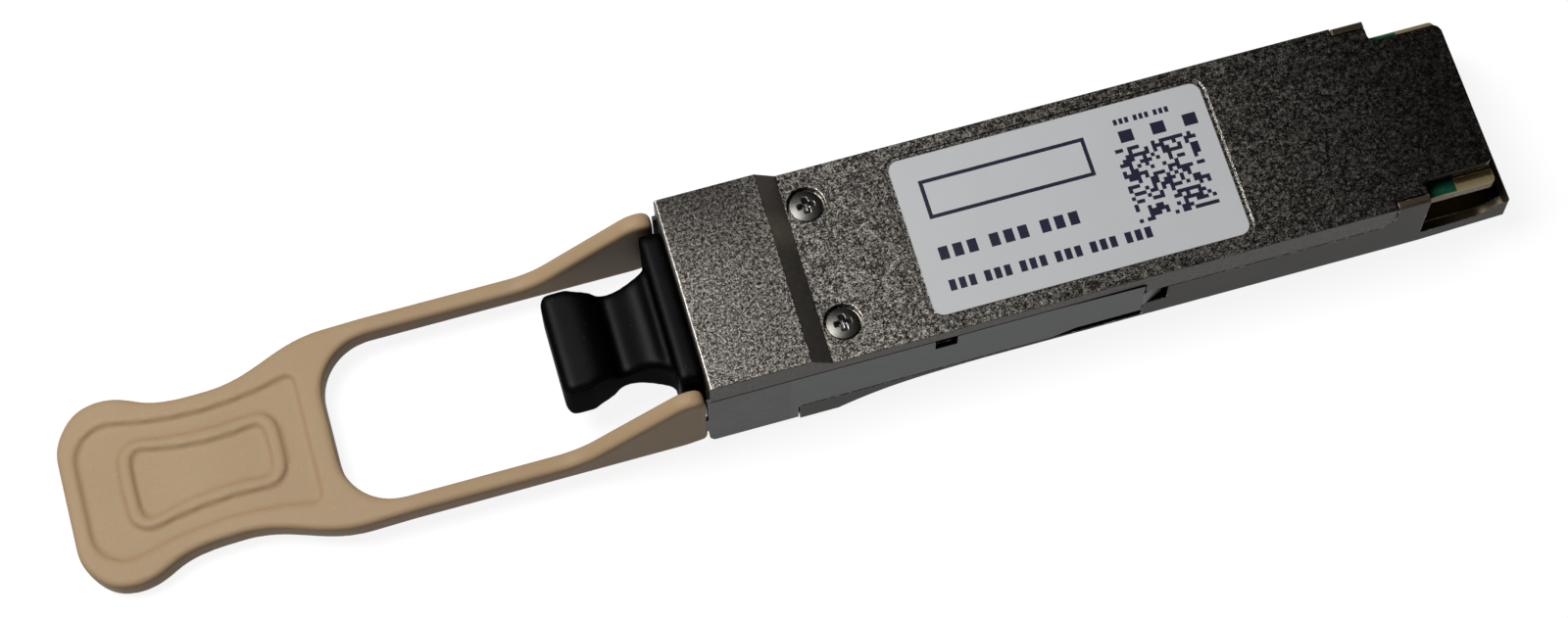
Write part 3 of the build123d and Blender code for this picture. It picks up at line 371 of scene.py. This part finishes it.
smallGrain = {
    "cloud": 1.5 * mm, "grain": 0.08 * mm, "shade": 0.75, "unevenness": 0.06,
    "depth": 0.006 * mm, "edge": 0.06 * mm,
}


def grainyFinish(name, look):
    # Mottled colour, uneven gloss and fine grain, for the plain mouldings and small parts
    grain = smallGrain
    finish = Finish(name)
    cloud = finish.noise(grain["cloud"], 3.0)
    fine = finish.noise(grain["grain"], 2.0)
    mottle = finish.ranged(cloud * 0.6 + fine * 0.4, 0.35, 0.65)
    colour = finish.mixed(mottle, darker(look["colour"], grain["shade"]), look["colour"])
    spread = grain["unevenness"]
    rough = finish.ranged(fine, 0.3, 0.7, look["rough"] - spread, look["rough"] + spread)
    bump = finish.bumped(fine, look.get("depth", grain["depth"]), finish.rounded(grain["edge"]))
    return finish.shade({
        "Base Color": colour, "Roughness": rough, "Normal": bump, "Metallic": look.get("metal", 0.0),
        "Transmission Weight": look.get("clear", 0.0)})


screwMetal = {
    # The bright edge colour is wear with painted highlight
    "light": (0.125, 0.120, 0.110), "dark": (0.080, 0.077, 0.070), "wornAndHighlight": (0.92, 0.89, 0.84),
    "grain": 0.10 * mm, "patch": 0.5 * mm, "depth": 0.002 * mm, "edge": 0.05 * mm, "wearAndPaintedLight": 0.15 * mm,
    "rough": (0.34, 0.42), "wornPolish": 0.14, "patches": (0.34, 0.54),
}


def darkScrew():
    # Dark drive screws, polished and bright along the cross and the rim from wear and painted highlight
    look = screwMetal
    finish = Finish("darkScrew")
    fine = finish.noise(look["grain"], 2.0)
    colour = finish.mixed(finish.ranged(fine, 0.35, 0.65), look["dark"], look["light"])
    patches = finish.ranged(finish.noise(look["patch"], 2.0), *look["patches"])
    wearAndPaintedLight = finish.edges(look["wearAndPaintedLight"]) * patches
    colour = finish.mixed(wearAndPaintedLight, colour, look["wornAndHighlight"])
    rough = finish.ranged(fine, 0.3, 0.7, *look["rough"]) - wearAndPaintedLight * look["wornPolish"]
    bump = finish.bumped(fine, look["depth"], finish.rounded(look["edge"]))
    return finish.shade({"Base Color": colour, "Metallic": 1.0, "Roughness": rough, "Normal": bump})


labelLook = {
    "film": (0.53, 0.54, 0.55), "shade": (0.49, 0.50, 0.51), "ink": (0.012, 0.014, 0.035),
    # A dark line round the film's edge: its cut edge, partly painted shade
    "cutAndPaintedShade": (0.05, 0.05, 0.05), "cutShadeWidth": 0.14 * mm, "cutShadeShare": 0.9,
    "cloud": 5 * mm, "fibre": 0.07 * mm, "depth": 0.004 * mm, "edge": 0.05 * mm,
    "rough": (0.38, 0.48), "inkPolish": 0.1, "inkRise": 0.8,
    "fieldCells": 20, "fieldCell": 0.365 * mm, "fieldEnd": 1.8 * mm, "fieldTop": 4.4 * mm,
    "fieldCutoff": 0.52, "fieldSeed": 3.0,
    # Rows as (bottom, height, start, pitch, groups), measured from the far edge where negative
    "rows": (
        (5.0 * mm, 1.25 * mm, 2.0 * mm, 1.30 * mm, (3, 3, 3)),
        (2.0 * mm, 1.05 * mm, 2.0 * mm, 0.90 * mm, (3, 3, 3, 3, 3, 3)),
        (-2.1 * mm, 0.55 * mm, -8.4 * mm, 0.52 * mm, (3, 3, 3)),
        (-3.9 * mm, 1.15 * mm, -8.3 * mm, 1.9 * mm, (1, 1, 1)),
    ),
    "blockShare": 0.66, "groupGap": 0.55,
    "frameLeft": 2.2 * mm, "frameRight": 17.4 * mm, "frameFoot": 9.0 * mm, "frameTop": 12.8 * mm,
    "frameRule": 0.36 * mm,
}


def printedBlocks(length, width):
    # The print as (start, end, bottom, top, pitch), measured from the label's near front corner
    look = labelLook
    blocks = []
    for bottom, height, start, pitch, groups in look["rows"]:
        if bottom < 0:
            bottom += width
        if start < 0:
            start += length
        for group in groups:
            blocks.append((start, start + group * pitch, bottom, bottom + height, pitch))
            start += (group + look["groupGap"]) * pitch
    left, right, rule = look["frameLeft"], look["frameRight"], look["frameRule"]
    foot, top = look["frameFoot"], look["frameTop"]
    for start, end, bottom, height in (
        (left, right, foot, rule), (left, right, top - rule, rule),
        (left, left + rule, foot, top - foot), (right - rule, right, foot, top - foot),
    ):
        blocks.append((start, end, bottom, bottom + height, length * 2))
    return blocks


def labelFilm():
    # Light film with generic print: a ruled frame, rows of plain blocks and a field of random squares
    look = labelLook
    finish = Finish("labelFilm")
    low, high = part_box("label")
    x, y = finish.axes(finish.place())[:2]
    across, up = x - low[0], y - low[1]
    length, width = high[0] - low[0], high[1] - low[1]
    cell = look["fieldCell"]
    side = look["fieldCells"] * cell
    left, foot = length - look["fieldEnd"] - side, width - look["fieldTop"] - side
    column = finish.node("ShaderNodeMath", {"operation": "FLOOR"}, {0: (across - left) / cell})
    row = finish.node("ShaderNodeMath", {"operation": "FLOOR"}, {0: (up - foot) / cell})
    spot = finish.node("ShaderNodeCombineXYZ", None, {"X": column, "Y": row, "Z": look["fieldSeed"]})
    chance = finish.node("ShaderNodeTexWhiteNoise", {"noise_dimensions": "3D"}, {"Vector": spot})
    inside = between(across, left, left + side) * between(up, foot, foot + side)
    marks = (chance > look["fieldCutoff"]) * inside
    for start, end, bottom, top, pitch in printedBlocks(length, width):
        wave = finish.node("ShaderNodeMath", {"operation": "FRACT"}, {0: (across - start) / pitch})
        marks = marks + between(across, start, end) * between(up, bottom, top) * (wave < look["blockShare"])
    ink = finish.ranged(marks, 0.0, 1.0)
    fibre = finish.noise(look["fibre"], 2.0)
    film = finish.mixed(finish.noise(look["cloud"], 3.0), look["shade"], look["film"])
    colour = finish.mixed(ink, film, look["ink"])
    # The cut edge, darkened partly as painted shade from the recess
    colour = finish.mixed(finish.edges(look["cutShadeWidth"]) * look["cutShadeShare"], colour, look["cutAndPaintedShade"])
    rough = finish.ranged(fibre, 0.3, 0.7, *look["rough"]) - ink * look["inkPolish"]
    bump = finish.bumped(fibre + ink * look["inkRise"], look["depth"], finish.rounded(look["edge"]))
    return finish.shade({"Base Color": colour, "Roughness": rough, "Normal": bump})


boardLook = {
    "mask": (0.007, 0.060, 0.032), "trace": (0.012, 0.085, 0.045), "bare": (0.21, 0.175, 0.09),
    "core": (0.32, 0.25, 0.13), "coreShare": 0.85, "coreStart": 0.12 * mm, "coreEnd": 0.04 * mm,
    "pitch": 0.8 * mm, "traceStart": 0.3, "traceEnd": 0.7, "cloud": 1.2 * mm, "clouded": (0.4, 0.5),
    "depth": 0.01 * mm, "rough": (0.22, 0.34), "gloss": 0.15,
}


def solderMask():
    # Green mask over raised traces, bare at the card edge, with the board's own colour on its sides
    look = boardLook
    finish = Finish("solderMask")
    x, y = finish.axes(finish.place())[:2]
    wave = finish.node("ShaderNodeMath", {"operation": "FRACT"}, {0: y / look["pitch"] + 100.0})
    trace = between(wave, look["traceStart"], look["traceEnd"])
    cloud = finish.noise(look["cloud"], 2.0)
    colour = finish.mixed(trace * finish.ranged(cloud, *look["clouded"]), look["mask"], look["trace"])
    colour = finish.mixed(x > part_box("contact_pads_top")[0][0], colour, look["bare"])
    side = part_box("circuit_board")[1][1]
    core = finish.ranged(abs(y), side - look["coreStart"], side - look["coreEnd"])
    colour = finish.mixed(core * look["coreShare"], colour, look["core"])
    bump = finish.bumped(trace, look["depth"])
    rough = finish.ranged(cloud, 0.3, 0.7, *look["rough"])
    return finish.shade({
        "Base Color": colour, "Roughness": rough, "Normal": bump, "Specular IOR Level": look["gloss"]})


smallLooks = {
    "blackMoulding": ("black_plastic", {"colour": (0.02, 0.02, 0.02), "rough": 0.5}),
    "gasketRubber": ("gasket", {"colour": (0.10, 0.10, 0.10), "rough": 0.7}),
    "ferruleResin": ("ferrule_resin", {"colour": (0.05, 0.045, 0.04), "rough": 0.45}),
    "ribbonCoat": ("fibre", {"colour": (0.08, 0.45, 0.42), "rough": 0.4}),
    "lensResin": ("lens_resin", {"colour": (0.70, 0.42, 0.10), "rough": 0.12, "clear": 0.6}),
    "bareDie": ("bare_die", {"colour": (0.12, 0.13, 0.16), "rough": 0.15, "metal": 0.6}),
    "chipPackage": ("chip_package", {"colour": (0.025, 0.025, 0.026), "rough": 0.5}),
    "ceramicBlock": ("capacitor_ceramic", {"colour": (0.33, 0.22, 0.13), "rough": 0.4}),
    "thermalPad": ("thermal_pad", {"colour": (0.30, 0.42, 0.55), "rough": 0.7}),
    "goldPlate": ("gold", {"colour": (0.90, 0.66, 0.30), "rough": 0.30, "metal": 1.0, "depth": 0.003 * mm}),
}

finishes = {
    "nickel_plate": blastedNickel(), "spring_steel": springSteel(), "beige_plastic": beigePlastic(),
    "black_rubber": blackPlug(), "label_paper": labelFilm(), "board": solderMask(),
    "dark_screw": darkScrew(),
}
for name, (slot, look) in smallLooks.items():
    finishes[slot] = grainyFinish(name, look)
for name, piece in nodes.items():
    for index, old in enumerate(piece.data.materials):
        piece.data.materials[index] = finishes[old.name.split(".")[0]]
nodes["base_shell"].data.materials[0] = satinNickel()
print("finishes:", len(bpy.data.materials))


def joinRings(mesh, rings):
    # A closed skin over rings of points, with a face over the first and the last
    mesh.faces.new(rings[0])
    for before, after in zip(rings, rings[1:]):
        for index in range(len(before)):
            following = (index + 1) % len(before)
            mesh.faces.new((before[index], before[following], after[following], after[index]))
    mesh.faces.new(rings[-1])


def meshData(name, mesh):
    bmesh.ops.recalc_face_normals(mesh, faces=mesh.faces)
    data = bpy.data.meshes.new(name)
    mesh.to_mesh(data)
    mesh.free()
    return data


def addPiece(name, data, node, slot):
    for face in data.polygons:
        face.use_smooth = True
    data.materials.clear()
    data.materials.append(finishes[slot])
    piece = bpy.data.objects.new(name, data)
    bpy.context.scene.collection.objects.link(piece)
    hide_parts(node)
    return piece


screwLook = {
    "headHeight": 0.7 * mm, "edgeHeight": 0.48 * mm, "domeHeight": 0.68 * mm, "domePower": 2.4,
    "armWidth": 0.36 * mm, "armLength": 1.62 * mm, "recess": 0.55 * mm, "wallWidth": 0.22 * mm,
    "taper": 1.8, "shank": 0.7 * mm, "rings": 44, "spokes": 96, "innermost": 0.015,
}


def crossDepth(x, y):
    # Depth of the tapered cross recess under the dome
    look = screwLook
    narrow, wide = min(abs(x), abs(y)), max(abs(x), abs(y))
    across = (look["armWidth"] / 2 - narrow) / look["wallWidth"] + 0.5
    along = (look["armLength"] / 2 - wide) / (look["armLength"] / 2)
    return look["recess"] * min(max(across, 0.0), 1.0) * min(max(along * look["taper"], 0.0), 1.0)


def screwProfile(headRadius, seatZ, tipZ):
    # The domed head, its flat underside and the shank, as (radius, height, holds the recess)
    look = screwLook
    profile = []
    for step in range(look["rings"] + 1):
        share = look["innermost"] + (1 - look["innermost"]) * step / look["rings"]
        rise = (look["domeHeight"] - look["edgeHeight"]) * (1 - share ** look["domePower"])
        profile.append((headRadius * share, seatZ + look["edgeHeight"] + rise, True))
    profile.append((headRadius, seatZ, False))
    profile.append((look["shank"], seatZ, False))
    profile.append((look["shank"], tipZ, False))
    return profile


def makeScrews():
    look = screwLook
    low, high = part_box("housing_screws")
    headRadius = (high[0] - low[0]) / 2
    middleX = (low[0] + high[0]) / 2
    mesh = bmesh.new()
    for middleY in (low[1] + headRadius, high[1] - headRadius):
        rings = []
        for radius, height, recessed in screwProfile(headRadius, high[2] - look["headHeight"], low[2]):
            ring = []
            for spoke in range(look["spokes"]):
                angle = 2 * pi * spoke / look["spokes"]
                offsetX, offsetY = radius * cos(angle), radius * sin(angle)
                drop = crossDepth(offsetX, offsetY) if recessed else 0.0
                ring.append(mesh.verts.new((middleX + offsetX, middleY + offsetY, height - drop)))
            rings.append(ring)
        joinRings(mesh, rings)
    piece = addPiece("screwHeads", meshData("screwHeads", mesh), "housing_screws", "dark_screw")
    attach(piece, "housing")


springLook = {
    "names": {"springLeft": "return_spring_left", "springRight": "return_spring_right"},
    "wire": 0.26 * mm, "turns": 9, "closed": 1.2, "travel": 2.5 * mm, "steps": 28, "sides": 12,
}


def springRise(turn, span):
    # Distance along the axis: closed turns at both ends, even pitch between them
    look = springLook
    active = look["turns"] - 2 * look["closed"]
    pitch = (span - 2 * look["closed"] * look["wire"]) / active
    middle = min(max(turn - look["closed"], 0.0), active)
    return pitch * middle + look["wire"] * (turn - middle)


def makeSpring(name, node):
    # A coil with closed turns at both ends, spanning the spring's box
    look = springLook
    low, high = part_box(node)
    length = high[0] - low[0]
    wireRadius = look["wire"] / 2
    coilRadius = (high[1] - low[1]) / 2 - wireRadius
    middleY, middleZ = (low[1] + high[1]) / 2, (low[2] + high[2]) / 2
    mesh = bmesh.new()
    rings = []
    for step in range(look["turns"] * look["steps"] + 1):
        turn = step / look["steps"]
        angle = 2 * pi * turn
        along = low[0] + wireRadius + springRise(turn, length - look["wire"])
        ring = []
        for side in range(look["sides"]):
            around = 2 * pi * side / look["sides"]
            radius = coilRadius + wireRadius * cos(around)
            x, y, z = along + wireRadius * sin(around), radius * cos(angle), radius * sin(angle)
            ring.append(mesh.verts.new((x, middleY + y, middleZ + z)))
        rings.append(ring)
    joinRings(mesh, rings)
    piece = addPiece(name, meshData(name, mesh), node, "spring_steel")
    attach(piece, "housing")
    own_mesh(piece)


softLooks = {
    "pullTabSkin": {
        "node": "pull_tab", "slot": "beige_plastic", "body": "latch", "voxel": 0.16 * mm,
        "passes": 9,
    },
    "dustPlugSkin": {
        "node": "dust_plug", "slot": "black_rubber", "body": "plug", "voxel": 0.14 * mm,
        "passes": 15, "tipStart": -2.2 * mm, "tipPasses": 3,
    },
}


def makeSoftSkin(name, look):
    # A moulding with its steps and rims softened, and its tip softened further
    draft = bpy.data.objects.new(name + "Draft", nodes[look["node"]].data.copy())
    bpy.context.scene.collection.objects.link(draft)
    remesh = draft.modifiers.new("remesh", "REMESH")
    remesh.mode, remesh.voxel_size = "VOXEL", look["voxel"]
    shape = draft.evaluated_get(bpy.context.evaluated_depsgraph_get())
    data = bpy.data.meshes.new_from_object(shape)
    bpy.data.objects.remove(draft)
    mesh = bmesh.new()
    mesh.from_mesh(data)
    tip = [corner for corner in mesh.verts if corner.co.x < look.get("tipStart", 0.0)]
    for passes, corners in ((look["passes"], list(mesh.verts)), (look.get("tipPasses", 0), tip)):
        for turn in range(passes):
            bmesh.ops.smooth_vert(mesh, verts=corners, factor=0.5,
                                  use_axis_x=True, use_axis_y=True, use_axis_z=True)
    mesh.to_mesh(data)
    mesh.free()
    piece = addPiece(name, data, look["node"], look["slot"])
    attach(piece, look["body"])
    print(name, "faces:", len(data.polygons))


makeScrews()
for name, node in springLook["names"].items():
    makeSpring(name, node)
for name, look in softLooks.items():
    makeSoftSkin(name, look)
print("pieces ready")


studio = {
    "floorSize": 8.0, "floorColour": (0.18, 0.18, 0.18), "floorGlow": 0.89,
    "skyLow": 1.0, "skyHigh": 0.008, "skyFadeStart": 0.10, "skyFadeEnd": 0.26,
    "lampPlace": (-0.12, 0.06, 0.32), "lampAim": (0.01, 0.0, 0.0), "lampSide": 0.16, "lampPower": 1.30,
}


def makeFloor():
    mesh = bpy.data.meshes.new("floor")
    half = studio["floorSize"] / 2
    height = cadBox[0][2]
    corners = [(x, y, height) for x, y in ((-half, -half), (half, -half), (half, half), (-half, half))]
    mesh.from_pydata(corners, [], [(0, 1, 2, 3)])
    floor = bpy.data.objects.new("floor", mesh)
    bpy.context.scene.collection.objects.link(floor)
    # Glows for the camera and for reflections only, so it stays pale without lighting the object
    finish = Finish("paleFloor")
    diffuse = finish.node("ShaderNodeBsdfDiffuse", None, {"Color": (*studio["floorColour"], 1)})
    rays = finish.node("ShaderNodeLightPath").socket.node
    seen = Link(finish, rays.outputs["Is Camera Ray"]) + Link(finish, rays.outputs["Is Glossy Ray"])
    seen = seen + Link(finish, rays.outputs["Is Transmission Ray"])
    glow = finish.node("ShaderNodeEmission", None, {"Strength": seen * studio["floorGlow"]})
    lit = finish.node("ShaderNodeAddShader", None, {0: diffuse, 1: glow})
    finish.tree.links.new(lit.socket, finish.output.inputs["Surface"])
    mesh.materials.append(finish.material)


def makeLamp():
    data = bpy.data.lights.new("keyLamp", "AREA")
    data.shape, data.size, data.energy = "SQUARE", studio["lampSide"], studio["lampPower"]
    lamp = bpy.data.objects.new("keyLamp", data)
    lamp.location = studio["lampPlace"]
    gaze = Vector(studio["lampAim"]) - Vector(studio["lampPlace"])
    lamp.rotation_euler = gaze.to_track_quat("-Z", "Y").to_euler()
    bpy.context.scene.collection.objects.link(lamp)


def makeSky():
    # Pale all round at the horizon and dark overhead, as under a studio's black ceiling
    world = bpy.data.worlds.new("studioSky")
    bpy.context.scene.world = world
    world.use_nodes = True
    finish = Finish("skyMix", tree=world.node_tree)
    z = finish.axes(finish.node("ShaderNodeTexCoord", output="Generated"))[2]
    strength = finish.ranged(
        z, studio["skyFadeStart"], studio["skyFadeEnd"], studio["skyLow"], studio["skyHigh"])
    sky = finish.node("ShaderNodeBackground", None, {"Strength": strength})
    finish.tree.links.new(sky.socket, finish.output.inputs["Surface"])


cameraView = {
    "place": (-0.02115, -0.11643, 0.287145), "turn": (22.502, 0.591, -15.998),
    "lens": 81.38, "sensor": 36.0, "clipStart": 0.01, "clipEnd": 20.0,
}


def makeCamera():
    data = bpy.data.cameras.new("camera")
    data.lens, data.sensor_width = cameraView["lens"], cameraView["sensor"]
    data.clip_start, data.clip_end = cameraView["clipStart"], cameraView["clipEnd"]
    camera = bpy.data.objects.new("camera", data)
    camera.location = cameraView["place"]
    camera.rotation_euler = [radians(angle) for angle in cameraView["turn"]]
    bpy.context.scene.collection.objects.link(camera)
    bpy.context.scene.camera = camera


makeFloor()
makeLamp()
makeSky()
makeCamera()
bpy.context.scene.view_settings.view_transform = "Standard"
print("studio ready")
